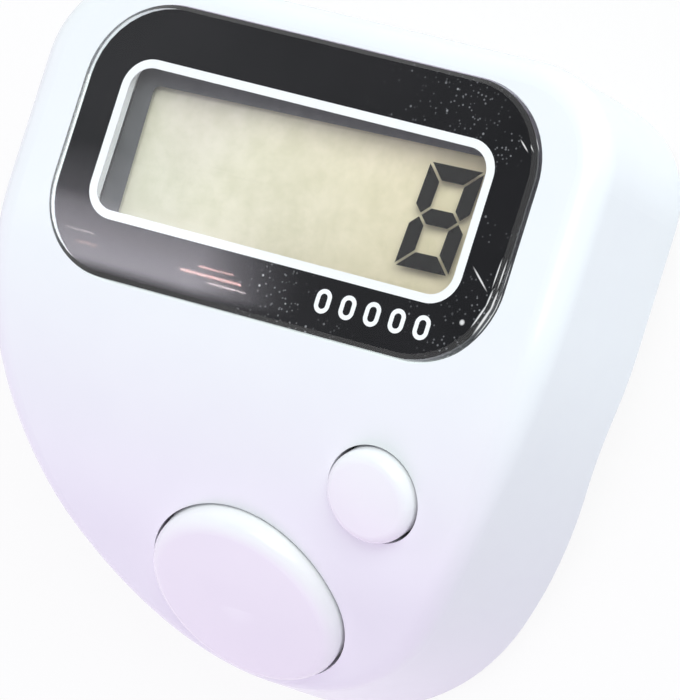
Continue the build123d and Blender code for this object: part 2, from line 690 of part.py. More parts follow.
def dome_section(k):
    """Half section of a rubber dome: base ring, cone and solid top"""
    Polygon(
        (DOME_R * k, 0),
        (DOME_R * k, DOME_BASE_T),
        ((DOME_R - DOME_LIP) * k, DOME_BASE_T),
        (DOME_TOP_R * k, DOME_H - DOME_TOP_T),
        (DOME_TOP_R * k, DOME_H),
        (0, DOME_H),
        (0, DOME_H - DOME_TOP_T),
        ((DOME_TOP_R - DOME_SKIN) * k, DOME_H - DOME_TOP_T),
        ((DOME_R - DOME_LIP - DOME_SKIN) * k, 0),
        align=None,
    )


def key_section(radius, rise, shoulder, stem_r, stem_end):
    """Half section of a key: crowned cap with a round shoulder, skirt and centre stem"""
    reach = radius - shoulder
    crown = (reach**2 + rise**2 - shoulder**2) / (2 * (rise - shoulder))
    turn = degrees(atan2(reach, crown - rise))
    under = KEY_RIM + rise - shoulder - KEY_SKIN
    skirt = -WALL - LUG_GAP - LUG_T
    CenterArc((reach, KEY_RIM), shoulder, 0, 90 - turn)
    CenterArc((0, KEY_RIM + rise - crown), crown, 90 - turn, turn)
    Polyline(
        (0, KEY_RIM + rise),
        (0, stem_end),
        (stem_r, stem_end),
        (stem_r, under),
        (radius - KEY_SKIN, under),
        (radius - KEY_SKIN, skirt),
        (radius, skirt),
        (radius, KEY_RIM),
    )


# Rubber dome under the count key
with BuildPart() as count_dome:
    with BuildSketch(section(SWITCH, 0, 0)):
        dome_section(1)
    revolve(axis=Axis(SWITCH.origin, SWITCH.z_dir))
count_dome.part.label = "count_dome"
export_step(count_dome.part, "parts/count_dome.step")

# Carbon pill in the count dome
with BuildPart() as count_pill:
    with BuildSketch(SWITCH.offset(DOME_H - DOME_TOP_T - LAYER_GAP)):
        Circle(PILL_R)
    extrude(amount=-PILL_T)
count_pill.part.label = "count_pill"
export_step(count_pill.part, "parts/count_pill.step")

# Rubber dome under the reset key
with BuildPart() as reset_dome:
    with BuildSketch(section(SWITCH, RESET_SPOT.X, RESET_SPOT.Y)):
        dome_section(RESET_DOME_SCALE)
    revolve(axis=Axis(SWITCH.from_local_coords(RESET_SPOT), SWITCH.z_dir))
reset_dome.part.label = "reset_dome"
export_step(reset_dome.part, "parts/reset_dome.step")

# Carbon pill in the reset dome
with BuildPart() as reset_pill:
    with BuildSketch(SWITCH.offset(DOME_H - DOME_TOP_T - LAYER_GAP)):
        with Locations((RESET_SPOT.X, RESET_SPOT.Y)):
            Circle(PILL_R * RESET_DOME_SCALE)
    extrude(amount=-PILL_T)
reset_pill.part.label = "reset_pill"
export_step(reset_pill.part, "parts/reset_pill.step")

# Count key with retaining lugs left and right
with BuildPart() as count_button:
    count_r = COUNT_HOLE_R - KEY_GAP
    count_stem_end = STEM_GAP + DOME_H / cos(radians(SWITCH_TURN)) - SWITCH_DROP
    with BuildSketch(section(COUNT, 0, 0)):
        with BuildLine():
            key_section(count_r, COUNT_RISE, COUNT_SHOULDER, COUNT_STEM_R, count_stem_end)
        make_face()
    revolve(axis=Axis(COUNT.origin, COUNT.z_dir))
    with BuildSketch(COUNT.offset(-WALL - LUG_GAP - LUG_T)):
        Rectangle(2 * (COUNT_HOLE_R + LUG_LAP), COUNT_LUG_W)
        Circle(count_r - KEY_SKIN, mode=Mode.SUBTRACT)
    extrude(amount=LUG_T)
count_button.part.label = "count_button"
export_step(count_button.part, "parts/count_button.step")

# Reset key with retaining lugs left and right
with BuildPart() as reset_button:
    reset_r = RESET_HOLE_R - KEY_GAP
    reset_stem_end = STEM_GAP + DOME_H / RESET_LEAN - RESET_DROP
    with BuildSketch(section(RESET, 0, 0)):
        with BuildLine():
            key_section(reset_r, RESET_RISE, RESET_SHOULDER, RESET_STEM_R, reset_stem_end)
        make_face()
    revolve(axis=Axis(RESET.origin, RESET.z_dir))
    with BuildSketch(RESET.offset(-WALL - LUG_GAP - LUG_T)):
        Rectangle(2 * (RESET_HOLE_R + LUG_LAP), RESET_LUG_W)
        Circle(reset_r - KEY_SKIN, mode=Mode.SUBTRACT)
    extrude(amount=LUG_T)
reset_button.part.label = "reset_button"
export_step(reset_button.part, "parts/reset_button.step")

# Screws holding the rear cover, with cross recesses
with BuildPart() as cover_screws:
    with BuildSketch(FACE.offset(SCREW_SEAT_W - LAYER_GAP)):
        with Locations(*COVER_SCREWS):
            Circle(COVER_HEAD_R)
    extrude(amount=-COVER_HEAD_T)
    with BuildSketch(FACE.offset(SCREW_SEAT_W - LAYER_GAP)):
        with Locations(*COVER_SCREWS):
            Circle(COVER_SCREW_R)
    extrude(amount=COVER_SCREW_L)
    with BuildSketch(FACE.offset(SCREW_SEAT_W - LAYER_GAP - COVER_HEAD_T)):
        with Locations(*COVER_SCREWS):
            Rectangle(COVER_HEAD_R, RECESS_W)
            Rectangle(RECESS_W, COVER_HEAD_R)
    extrude(amount=RECESS_D, mode=Mode.SUBTRACT)
cover_screws.part.label = "cover_screws"
export_step(cover_screws.part, "parts/cover_screws.step")

# Screws holding both circuit boards, with cross recesses
with BuildPart() as board_screws:
    for seat, spots in BOARD_SCREWS:
        with BuildSketch(seat):
            with Locations(*spots):
                Circle(BOARD_HEAD_R)
        extrude(amount=-BOARD_HEAD_T)
        with BuildSketch(seat):
            with Locations(*spots):
                Circle(BOARD_SCREW_R)
        extrude(amount=BOARD_SCREW_L)
        with BuildSketch(seat.offset(-BOARD_HEAD_T)):
            with Locations(*spots):
                Rectangle(BOARD_HEAD_R, RECESS_W)
                Rectangle(RECESS_W, BOARD_HEAD_R)
        extrude(amount=RECESS_D, mode=Mode.SUBTRACT)
board_screws.part.label = "board_screws"
export_step(board_screws.part, "parts/board_screws.step")
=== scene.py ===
from math import cos, hypot, pi, radians, sin

import bmesh
import bpy
from mathutils import Matrix, Vector


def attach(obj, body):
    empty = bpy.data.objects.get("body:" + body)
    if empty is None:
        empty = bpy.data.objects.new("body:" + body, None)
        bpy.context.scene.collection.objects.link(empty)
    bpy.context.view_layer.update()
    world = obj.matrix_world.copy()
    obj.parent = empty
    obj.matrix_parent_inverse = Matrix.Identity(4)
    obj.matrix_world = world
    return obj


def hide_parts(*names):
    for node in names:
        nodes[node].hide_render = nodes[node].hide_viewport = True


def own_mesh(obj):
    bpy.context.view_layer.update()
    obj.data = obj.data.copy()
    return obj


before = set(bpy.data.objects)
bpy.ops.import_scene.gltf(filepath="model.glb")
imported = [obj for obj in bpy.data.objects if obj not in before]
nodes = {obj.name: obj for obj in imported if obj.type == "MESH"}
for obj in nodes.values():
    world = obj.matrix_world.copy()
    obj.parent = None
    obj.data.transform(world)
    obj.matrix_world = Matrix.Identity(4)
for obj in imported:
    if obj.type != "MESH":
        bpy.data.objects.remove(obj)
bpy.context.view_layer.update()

# Lengths and places below are in millimetres, unless a comment says otherwise
MM = 0.001

# Display frame of the model: u across, v up the display, w out of it
TILT = radians(16.50402)
FACE_Y = 13.0068
FACE_Z = 11.3899
FACE = Matrix((
    (1, 0, 0, 0),
    (0, cos(TILT), sin(TILT), FACE_Y * MM),
    (0, -sin(TILT), cos(TILT), FACE_Z * MM),
    (0, 0, 0, 1),
))

# Camera in the display frame: axes of the picture, and the camera's place along them
VIEW_RIGHT = Vector((0.8488, 0.29828, -0.43655))
VIEW_UP = Vector((-0.23083, 0.95188, 0.20159))
VIEW_BACK = Vector((0.47567, -0.07034, 0.87681))
VIEW_CENTRE = (1.804, -11.258, 300.0)

# Focal length and picture height in pixels, then sensor height and clipping distances
FOCAL_PX = 5716.5
PICTURE_H = 700
SENSOR = 36.0
CLIP_START = 10
CLIP_END = 20000

# Print on the rear of the lens, sunk into it a little
LENS_V = -2.49
LENS_REAR_W = -0.4
INK_T = 0.006
INK_IN = 0.004
INK_GAP = 0.002
LINE_TOP_W = LENS_REAR_W + INK_IN
PRINT_TOP_W = LENS_REAR_W + INK_IN - INK_GAP
PRINT_HALF = (13.72, 7.44)
PRINT_R = 4.57
LINE_HALF = (11.53, 4.46)
LINE_AT = (-0.2, -2.46)
LINE_R = 1.75
LINE_T = 0.48
CORNER_STEPS = 10

# Scratches in the print, and a painted highlight of the lens's bevel in the three marks along its right
# edge: place, turn in degrees, length and width
SCRATCHES_AND_BEVEL_HIGHLIGHT = (
    (12.35, -5.0, -41, 1.7, 0.12),
    (12.95, -6.9, 70, 2.1, 0.2),
    (13.2, -5.9, 84, 1.2, 0.14),
    (13.2, -4.5, 88, 1.7, 0.1),
    (12.5, 2.25, -40, 0.9, 0.1),
    (12.1, -7.4, 0, 0.34, 0.34),
)

# Dust in the print: place and reach of each cluster, and the core in which it is full
DUST = (
    (0.7, -8.1, 3.0),
    (2.2, -9.2, 2.2),
    (8.9, 3.7, 2.4),
    (11.2, 2.2, 1.8),
    (12.9, -6.0, 2.0),
    (11.4, -9.2, 1.6),
)
DUST_CORE = 0.3

# Patches of dust set in to the right, between these places
PATCH_SIDE = (1, 12)

# Five noughts beside the reset key
NOUGHT_COUNT = 5
NOUGHT_HALF = (0.46, 0.66)
NOUGHT_BAR = 0.25
NOUGHT_FIRST = 3.95
NOUGHT_PITCH = 1.5
NOUGHT_V = -8.2

# Dark grey frame and digit of the display, which sits a little turned behind the lens
SEGMENT_W = -2.0
SEGMENT_TOP_W = SEGMENT_W + INK_T / 2
DARK_FRAME_OUTER = (11.8, 5.5)
DARK_FRAME_OUTER_R = 0.5
DARK_FRAME_OUTER_V = -2.65
DARK_FRAME_HALF = (10.55, 3.85)
DARK_FRAME_AT = (-0.02, -2.72)
DARK_FRAME_R = 0.4
PANEL_TURN = radians(1.5)
DIGIT_LOW = (6.36, -5.3)
DIGIT_ACROSS = (3.38, 0.1)
DIGIT_UP = (0.3, 5.86)
DIGIT_BAR = 1.02
DIGIT_GAP = 0.15

# Tint of the reflector from left to right, and a rosier place
TINT_SIDE = (-9, 9)
TINT_LEFT = (0.98, 0.92, 0.76)
TINT_RIGHT = (1.0, 0.86, 0.61)
TINT_ROSIER = (1.0, 0.91, 0.78)
TINT_CORE = 0.5
ROSIER_AT = (-7.5, 0)
ROSIER_REACH = 4.0

# Painted shade on the reflector, darker towards the lower right and the lower middle: place, reach and
# share of the colour kept
PAINTED_SHADE_PLACES = ((6.5, -6.5, 7.0, 0.87), (-0.5, -5.6, 5.0, 0.9))

# Each rubber dome: joint, middle of the foot, and share of the height that is left when it is pressed
DOMES = {
    "count_dome": ("count_press", (0, -9.649, 5.796), 0.55),
    "reset_dome": ("reset_press", (8.6, -3.034, 8.95), 0.73),
}

# Refraction of the materials
HARD_IOR = 1.5
SOFT_IOR = 1.45
LENS_IOR = 1.49

# Roughness of each kind of material wanders between two shares of its middle value
MOULD_SPREAD = (0.8, 1.25)
METAL_SPREAD = (0.8, 1.3)
RUBBER_SPREAD = (0.85, 1.1)
FILM_SPREAD = (0.8, 1.2)
INK_SPREAD = (0.85, 1.15)

# Other roughness, from least to most
LENS_ROUGH = (0.0, 0.03)
REFLECTOR_ROUGH = (0.4, 0.55)
PRINT_ROUGH = (0.5, 0.7)
BOARD_ROUGH = (0.3, 0.45)

# Noise in cells per metre
MOULD_CLOUDS = 170
MOULD_GLOSS = 420
MOULD_PEEL = 1500
METAL_LINES = 900
LENS_SCUFFS = 700
LENS_HAIRLINES = 520
FILM_CLOUDS = 260
FILM_GLOSS = 600
REFLECTOR_CLOUDS = 700
REFLECTOR_SCUFFS = 900
REFLECTOR_GLOSS = 900
REFLECTOR_GRAIN = 5200
PRINT_CLOUDS = 240
PRINT_PATCHES = 210
PRINT_GLOSS = 500
FINE_SPECKS = 3600
PINHOLES = 1500
INK_CLOUDS = 900
INK_GLOSS = 700
INK_GRAIN = 2500
BOARD_WEAVE = 420
BOARD_GLOSS = 600

# Gloss and bump of rubber, as multiples of its grain
RUBBER_GLOSS = 2
RUBBER_BUMP = 2.5

# Fine lines: roughness of their noise, how it is stretched, and turns that vary the pattern
LINE_NOISE_ROUGH = 0.6
LINE_STRETCH = (0.06, 1.0, 1.0)
SCUFF_STRETCH = (0.04, 1.0, 1.0)
HAIRLINE_STRETCH = (1.0, 0.05, 1.0)
SCREW_TURN = radians(45)
LENS_SCUFF_TURN = radians(38)
HAIRLINE_TURN = radians(12)
REFLECTOR_SCUFF_TURN = radians(-32)

# Depth of the bumps
FINE_DEPTH = 0.01
SKIN_DEPTH = 0.02
GRAIN_DEPTH = 0.03

# Where a colour ramp starts and ends
SOFT_STOPS = (0.3, 0.7)
MOULD_STOPS = (0.35, 0.68)
CLOUD_STOPS = (0.34, 0.64)
SCUFF_STOPS = (0.6, 0.7)
PATCH_STOPS = (0.46, 0.62)
WEAVE_STOPS = (0.2, 0.9)
THIN_MARK_STOPS = (0.5, 1.0)

# Specks: size as a share of a cell, and where a speck has faded away, as a multiple of its size
FINE_SPECK_SIZE = 0.15
PINHOLE_SIZE = 0.075
SPECK_FADE = 1.6

# White and black with their alpha
WHITE = (1, 1, 1, 1)
BLACK = (0, 0, 0, 1)

# Colours of the reflector, the print and the boards
REFLECTOR_CLOUD = (0.88, 0.89, 0.84)
REFLECTOR_SCUFF = (0.92, 0.92, 0.9)
PRINT_BLACK = (0.011, 0.011, 0.012)
PRINT_SHADE = (0.015, 0.0145, 0.016)
SPECK_GREY = (0.19, 0.19, 0.2)
PINHOLE_GREY = (0.55, 0.55, 0.57)
SCRATCH_AND_HIGHLIGHT_GREY = (0.75, 0.73, 0.72)
BOARD_GREEN = (0.012, 0.1, 0.04)
BOARD_SHADE = (0.02, 0.15, 0.06)

# Darker shade of the clear films, as a share of their colour
FILM_SHADE = 0.96

# Floor of white paper, and soft light from all round
FLOOR_HALF = (3000, 3000)
FLOOR_DROP = 0.02
FLOOR_WHITE = 0.9
PAPER_COLOUR = (0.84, 0.84, 0.86)
PAPER_ROUGH = 0.9
SKY_COLOUR = (0.86, 0.91, 1.0)
SKY_STRENGTH = 0.43

# Grey card that the lens mirrors, fading to the right
CARD_AT = (-113, 20, 206)
CARD_HALF = (60, 45)
CARD_LEFT = (0.62, 0.63, 0.66)
CARD_RIGHT = (0.13, 0.135, 0.15)
CARD_FADE = 24

# Glow on the card, in its own frame: fades to the right, rises downwards between soft edges, haze above
GLOW_SIDE = (3.0, -9.5)
GLOW_RISE = (-6.6, -12.0)
GLOW_RANGE = (2.1, 7.4)
GLOW_EDGE = (-5.8, -6.9)
GLOW_FOOT = (-12.7, -11.7)
GLOW_COLOUR = (0.94, 0.9, 1.0)
HAZE_RISE = (-1.0, -6.5)
HAZE = 1.6

# Thin streaks in the glow, as lamps: left and right end, place up the display, height, glow and colour
STREAK_W = 198
ROSY = (1.0, 0.6, 0.56)
PALE = (1.0, 0.88, 0.9)
STREAKS = (
    (-119.6, -112.9, 8.75, 0.17, 26, ROSY),
    (-117.8, -114.0, 9.45, 0.13, 20, ROSY),
    (-116.5, -112.2, 8.15, 0.13, 22, PALE),
    (-132.8, -129.6, 9.85, 0.12, 8, PALE),
    (-131.4, -129.0, 8.8, 0.15, 8, ROSY),
)

# Soft lamps in the display frame: place, target, size, power in watts and colour
KEY_LAMP = ((165, 140, 310), (0, -8, 0), (220, 300), 1.11, (0.92, 1.0, 0.94))
FILL_LAMPS = {
    "side_lamp": ((290, 250, 60), (0, 0, -5), (150, 150), 0.28, (0.62, 0.72, 1.0)),
    "left_lamp": ((-330, 20, 80), (0, -10, -5), (160, 220), 0.34, (0.96, 0.99, 1.0)),
    "low_lamp": ((-60, -310, 50), (0, -20, -8), (240, 160), 0.42, (0.93, 0.65, 1.0)),
}

# Quarters of a rectangle, anticlockwise
QUARTERS = ((1, 1), (-1, 1), (-1, -1), (1, -1))


def rgba(*colour):
    """Colour with full alpha"""
    return (*colour, 1)


def at_display(u, v, w):
    """Point of the display frame"""
    return FACE @ (Vector((u, v, w)) * MM)


def put(name, data):
    """New object of the scene with this data"""
    obj = bpy.data.objects.new(name, data)
    bpy.context.scene.collection.objects.link(obj)
    return obj


class Look:
    """A node material round one Principled shader"""

    def __init__(self, name, **sockets):
        self.material = bpy.data.materials.new(name)
        self.material.use_nodes = True
        self.tree = self.material.node_tree
        self.bsdf = self.tree.nodes["Principled BSDF"]
        self.set(self.bsdf, **sockets)
        self.coord = self.add("ShaderNodeTexCoord").outputs["Object"]

    def add(self, kind, **props):
        node = self.tree.nodes.new(kind)
        for key, value in props.items():
            setattr(node, key, value)
        return node

    def set(self, node, **sockets):
        for key, value in sockets.items():
            node.inputs[key.replace("_", " ")].default_value = value

    def link(self, source, socket):
        self.tree.links.new(source, socket)

    def noise(self, scale, detail=3.0, rough=0.55, at=None):
        texture = self.add("ShaderNodeTexNoise")
        self.set(texture, Scale=scale, Detail=detail, Roughness=rough)
        self.link(at or self.coord, texture.inputs["Vector"])
        return texture.outputs["Fac"]

    def lines(self, scale, stretch, turn, detail=3.0):
        """Fine lines: noise stretched along X or Y; the turn varies the pattern, not the direction"""
        mapping = self.add("ShaderNodeMapping")
        self.set(mapping, Rotation=(0, 0, turn), Scale=stretch)
        self.link(self.coord, mapping.inputs["Vector"])
        return self.noise(scale, detail, LINE_NOISE_ROUGH, mapping.outputs["Vector"])

    def specks(self, scale, size):
        """Small round spots: white in a spot, black elsewhere"""
        cells = self.add("ShaderNodeTexVoronoi")
        self.set(cells, Scale=scale)
        self.link(self.coord, cells.inputs["Vector"])
        return self.ramp(cells.outputs["Distance"], (size, size * SPECK_FADE), (WHITE, BLACK))

    def near(self, point, inner, outer):
        """White within the inner distance of a point, black past the outer one"""
        distance = self.add("ShaderNodeVectorMath", operation="DISTANCE")
        distance.inputs[1].default_value = point
        self.link(self.coord, distance.inputs[0])
        fade = self.add("ShaderNodeMapRange")
        self.set(fade, From_Min=inner * MM, From_Max=outer * MM, To_Min=1.0, To_Max=0.0)
        self.link(distance.outputs["Value"], fade.inputs["Value"])
        return fade.outputs["Result"]

    def thin_mark(self, point, turn, length, width):
        """White in a thin ellipse round a point, its long axis turned in plan"""
        shift = self.add("ShaderNodeVectorMath", operation="SUBTRACT")
        shift.inputs[1].default_value = point
        self.link(self.coord, shift.inputs[0])
        mapping = self.add("ShaderNodeMapping", vector_type="TEXTURE")
        self.set(mapping, Rotation=(0, 0, turn), Scale=(length / 2 * MM, width / 2 * MM, 1.0))
        self.link(shift.outputs["Vector"], mapping.inputs["Vector"])
        distance = self.add("ShaderNodeVectorMath", operation="LENGTH")
        self.link(mapping.outputs["Vector"], distance.inputs[0])
        return self.ramp(distance.outputs["Value"], THIN_MARK_STOPS, (WHITE, BLACK))

    def along(self, axis, start, end):
        """From black to white along X, Y or Z between two places"""
        parts = self.add("ShaderNodeSeparateXYZ")
        self.link(self.coord, parts.inputs[0])
        fade = self.add("ShaderNodeMapRange")
        self.set(fade, From_Min=start * MM, From_Max=end * MM)
        self.link(parts.outputs[axis], fade.inputs["Value"])
        return fade.outputs["Result"]

    def ramp(self, fac, stops, colours):
        node = self.add("ShaderNodeValToRGB")
        for element, stop, colour in zip(node.color_ramp.elements, stops, colours):
            element.position = stop
            element.color = colour
        self.link(fac, node.inputs["Fac"])
        return node.outputs["Color"]

    def span(self, fac, low, high):
        """Factor brought from 0 and 1 to two other values"""
        node = self.add("ShaderNodeMapRange")
        self.set(node, To_Min=low, To_Max=high)
        self.link(fac, node.inputs["Value"])
        return node.outputs["Result"]

    def mix(self, fac, a, b, blend="MIX"):
        """Mix of two colours, by the node's sockets for colour: 0, 6 and 7 in, 2 out"""
        node = self.add("ShaderNodeMix", data_type="RGBA", blend_type=blend)
        for socket, value in ((node.inputs[0], fac), (node.inputs[6], a), (node.inputs[7], b)):
            if isinstance(value, bpy.types.NodeSocket):
                self.link(value, socket)
            else:
                socket.default_value = value
        return node.outputs[2]

    def times(self, a, b):
        return self.mix(1.0, a, b, "MULTIPLY")

    def plus(self, a, b):
        return self.mix(1.0, a, b, "ADD")

    def clouded(self, fac, light, shade, stops=SOFT_STOPS):
        """Base colour that wanders between two"""
        self.colour(self.ramp(fac, stops, (rgba(*light), rgba(*shade))))

    def colour(self, out):
        self.link(out, self.bsdf.inputs["Base Color"])

    def rough(self, fac, low, high):
        """Roughness that wanders between two values"""
        self.link(self.span(fac, low, high), self.bsdf.inputs["Roughness"])

    def uneven(self, fac, middle, spread):
        """Roughness that wanders round a middle value"""
        self.rough(fac, middle * spread[0], middle * spread[1])

    def bump(self, out, strength, depth):
        node = self.add("ShaderNodeBump")
        self.set(node, Strength=strength, Distance=depth * MM)
        self.link(out, node.inputs["Height"])
        self.link(node.outputs["Normal"], self.bsdf.inputs["Normal"])

    def surface(self, shader):
        self.link(shader, self.tree.nodes["Material Output"].inputs["Surface"])


def moulded(name, light, shade, rough, peel):
    """Moulded plastic: faint cloudiness in the colour, uneven gloss and a fine peel"""
    look = Look(name, IOR=HARD_IOR)
    look.clouded(look.noise(MOULD_CLOUDS), light, shade, MOULD_STOPS)
    look.uneven(look.noise(MOULD_GLOSS, detail=4.0), rough, MOULD_SPREAD)
    look.bump(look.noise(MOULD_PEEL, detail=2.0), strength=peel, depth=SKIN_DEPTH)
    return look.material


def sheet_metal(name, light, shade, rough, turn=0.0):
    """Rolled metal: fine lines along one direction"""
    look = Look(name, Metallic=1.0)
    lines = look.lines(METAL_LINES, LINE_STRETCH, turn, detail=4.0)
    look.clouded(lines, light, shade)
    look.uneven(lines, rough, METAL_SPREAD)
    look.bump(lines, strength=0.15, depth=SKIN_DEPTH)
    return look.material


def rubbery(name, light, shade, rough, grain):
    """Rubber, foam and resin: matt with a fine grain"""
    look = Look(name, IOR=SOFT_IOR)
    look.clouded(look.noise(grain), light, shade)
    look.uneven(look.noise(grain * RUBBER_GLOSS), rough, RUBBER_SPREAD)
    look.bump(look.noise(grain * RUBBER_BUMP, detail=2.0), strength=0.3, depth=GRAIN_DEPTH)
    return look.material


def clear_lens():
    """Clear acrylic with hairline scratches"""
    look = Look("lens_clear", Base_Color=WHITE, IOR=LENS_IOR, Transmission_Weight=1.0)
    look.rough(look.lines(LENS_SCUFFS, SCUFF_STRETCH, LENS_SCUFF_TURN), *LENS_ROUGH)
    hairlines = look.lines(LENS_HAIRLINES, HAIRLINE_STRETCH, HAIRLINE_TURN)
    look.bump(hairlines, strength=0.015, depth=FINE_DEPTH)
    return look.material


def thin_clear(name, colour, alpha, rough):
    """Thin film or glass of the display, nearly invisible"""
    look = Look(name, Alpha=alpha, IOR=HARD_IOR)
    look.clouded(look.noise(FILM_CLOUDS), colour, [c * FILM_SHADE for c in colour])
    look.uneven(look.noise(FILM_GLOSS), rough, FILM_SPREAD)
    look.material.surface_render_method = "BLENDED"
    return look.material


def reflector():
    """Reflector film behind the display: greenish to warm cream, cloudy, with faint scuffs, and painted
    shade towards the lower right and the lower middle
    """
    look = Look("lcd_reflector", IOR=SOFT_IOR)
    tint = look.mix(look.along("X", *TINT_SIDE), rgba(*TINT_LEFT), rgba(*TINT_RIGHT))
    rosier = look.near(at_display(*ROSIER_AT, SEGMENT_W), TINT_CORE, ROSIER_REACH)
    tint = look.mix(rosier, tint, rgba(*TINT_ROSIER))
    # Painted shade: the reflector's colour is darkened round each of these places
    for u, v, reach, kept in PAINTED_SHADE_PLACES:
        painted_shade = look.near(at_display(u, v, SEGMENT_W), TINT_CORE, reach)
        tint = look.times(tint, look.mix(painted_shade, WHITE, rgba(kept, kept, kept)))
    clouds = look.noise(REFLECTOR_CLOUDS, detail=6.0, rough=0.7)
    tint = look.times(tint, look.ramp(clouds, CLOUD_STOPS, (rgba(*REFLECTOR_CLOUD), WHITE)))
    scuffs = look.lines(REFLECTOR_SCUFFS, LINE_STRETCH, REFLECTOR_SCUFF_TURN)
    look.colour(look.times(tint, look.ramp(scuffs, SCUFF_STOPS, (WHITE, rgba(*REFLECTOR_SCUFF)))))
    look.rough(look.noise(REFLECTOR_GLOSS), *REFLECTOR_ROUGH)
    look.bump(look.noise(REFLECTOR_GRAIN, detail=2.0), strength=0.2, depth=FINE_DEPTH)
    return look.material


def black_print():
    """Black ink behind the lens, with dust, pinholes, scratches and a painted highlight of the lens's
    bevel along its right edge
    """
    look = Look("black_print", IOR=HARD_IOR, Specular_IOR_Level=0.0)
    ink = look.ramp(look.noise(PRINT_CLOUDS), SOFT_STOPS, (rgba(*PRINT_BLACK), rgba(*PRINT_SHADE)))
    patches = look.ramp(look.noise(PRINT_PATCHES), PATCH_STOPS, (BLACK, WHITE))
    dust = look.times(patches, look.along("X", *PATCH_SIDE))
    for u, v, reach in DUST:
        cluster = look.near(at_display(u, v, LENS_REAR_W), DUST_CORE, reach)
        dust = look.mix(1.0, dust, cluster, "LIGHTEN")
    ink = look.mix(look.times(look.specks(FINE_SPECKS, FINE_SPECK_SIZE), dust), ink, rgba(*SPECK_GREY))
    ink = look.mix(look.times(look.specks(PINHOLES, PINHOLE_SIZE), dust), ink, rgba(*PINHOLE_GREY))
    # Scratches, and a painted highlight of the lens's bevel in the marks that follow the right edge
    for u, v, turn, length, width in SCRATCHES_AND_BEVEL_HIGHLIGHT:
        thin_mark = look.thin_mark(at_display(u, v, LENS_REAR_W), radians(turn), length, width)
        ink = look.mix(thin_mark, ink, rgba(*SCRATCH_AND_HIGHLIGHT_GREY))
    look.colour(ink)
    look.rough(look.noise(PRINT_GLOSS), *PRINT_ROUGH)
    return look.material


def thin_coat(name, light, shade, rough, shine=0.5):
    """Thin coat of flat colour: printed ink, and the dark grey frame round the display"""
    look = Look(name, IOR=SOFT_IOR, Specular_IOR_Level=shine)
    look.clouded(look.noise(INK_CLOUDS), light, shade)
    look.uneven(look.noise(INK_GLOSS), rough, INK_SPREAD)
    look.bump(look.noise(INK_GRAIN, detail=2.0), strength=0.1, depth=FINE_DEPTH)
    return look.material


def circuit_board():
    """Green coated board, with woven glass under the coat"""
    look = Look("board", IOR=HARD_IOR)
    weave = look.add("ShaderNodeTexWave", wave_type="BANDS", bands_direction="X")
    look.set(weave, Scale=BOARD_WEAVE, Distortion=0.4)
    look.link(look.coord, weave.inputs["Vector"])
    look.clouded(weave.outputs["Fac"], BOARD_GREEN, BOARD_SHADE, WEAVE_STOPS)
    look.rough(look.noise(BOARD_GLOSS), *BOARD_ROUGH)
    look.bump(weave.outputs["Fac"], strength=0.15, depth=SKIN_DEPTH)
    return look.material


shell = moulded("white_shell", (0.89, 0.905, 0.92), (0.875, 0.89, 0.91), rough=0.24, peel=0.05)
key = moulded("white_key", (0.92, 0.91, 0.93), (0.905, 0.895, 0.92), rough=0.22, peel=0.05)
cover = moulded("white_cover", (0.85, 0.85, 0.88), (0.83, 0.83, 0.865), rough=0.38, peel=0.12)
steel = sheet_metal("cell_steel", (0.7, 0.7, 0.71), (0.6, 0.6, 0.61), rough=0.26)
strip = sheet_metal("spring_strip", (0.7, 0.68, 0.63), (0.6, 0.58, 0.54), rough=0.3)
screw = sheet_metal("screw_steel", (0.56, 0.56, 0.57), (0.44, 0.44, 0.45), rough=0.34, turn=SCREW_TURN)
resin = rubbery("chip_resin", (0.012, 0.012, 0.013), (0.02, 0.02, 0.021), rough=0.4, grain=700)
tape = rubbery("lens_tape", (0.3, 0.28, 0.28), (0.42, 0.4, 0.4), rough=0.6, grain=900)
contact = rubbery("contact_rubber", (0.42, 0.12, 0.1), (0.3, 0.07, 0.06), rough=0.6, grain=600)
foam = rubbery("foam", (0.03, 0.03, 0.032), (0.06, 0.06, 0.062), rough=0.9, grain=1400)
ceramic = rubbery("ceramic", (0.4, 0.26, 0.13), (0.33, 0.21, 0.1), rough=0.5, grain=900)
silicone = rubbery("silicone", (0.6, 0.6, 0.61), (0.54, 0.54, 0.55), rough=0.55, grain=500)
carbon = rubbery("carbon", (0.012, 0.012, 0.012), (0.02, 0.02, 0.02), rough=0.7, grain=900)
film = thin_clear("lcd_film", (0.62, 0.6, 0.5), alpha=0.003, rough=0.35)
glass = thin_clear("lcd_glass", (0.8, 0.84, 0.82), alpha=0.0015, rough=0.1)
board = circuit_board()
print_ink = black_print()
white_ink = thin_coat("white_ink", (0.97, 0.97, 0.97), (0.94, 0.94, 0.95), rough=0.45)
# Dark grey of the frame round the display
dark_frame_grey = thin_coat("dark_frame_grey", (0.12, 0.12, 0.13), (0.16, 0.16, 0.17), rough=0.4, shine=0.0)
segment_ink = thin_coat("segment_ink", (0.003, 0.003, 0.004), (0.007, 0.006, 0.007), rough=0.5, shine=0.0)
polyimide = thin_coat("polyimide", (0.5, 0.24, 0.04), (0.42, 0.19, 0.03), rough=0.35)

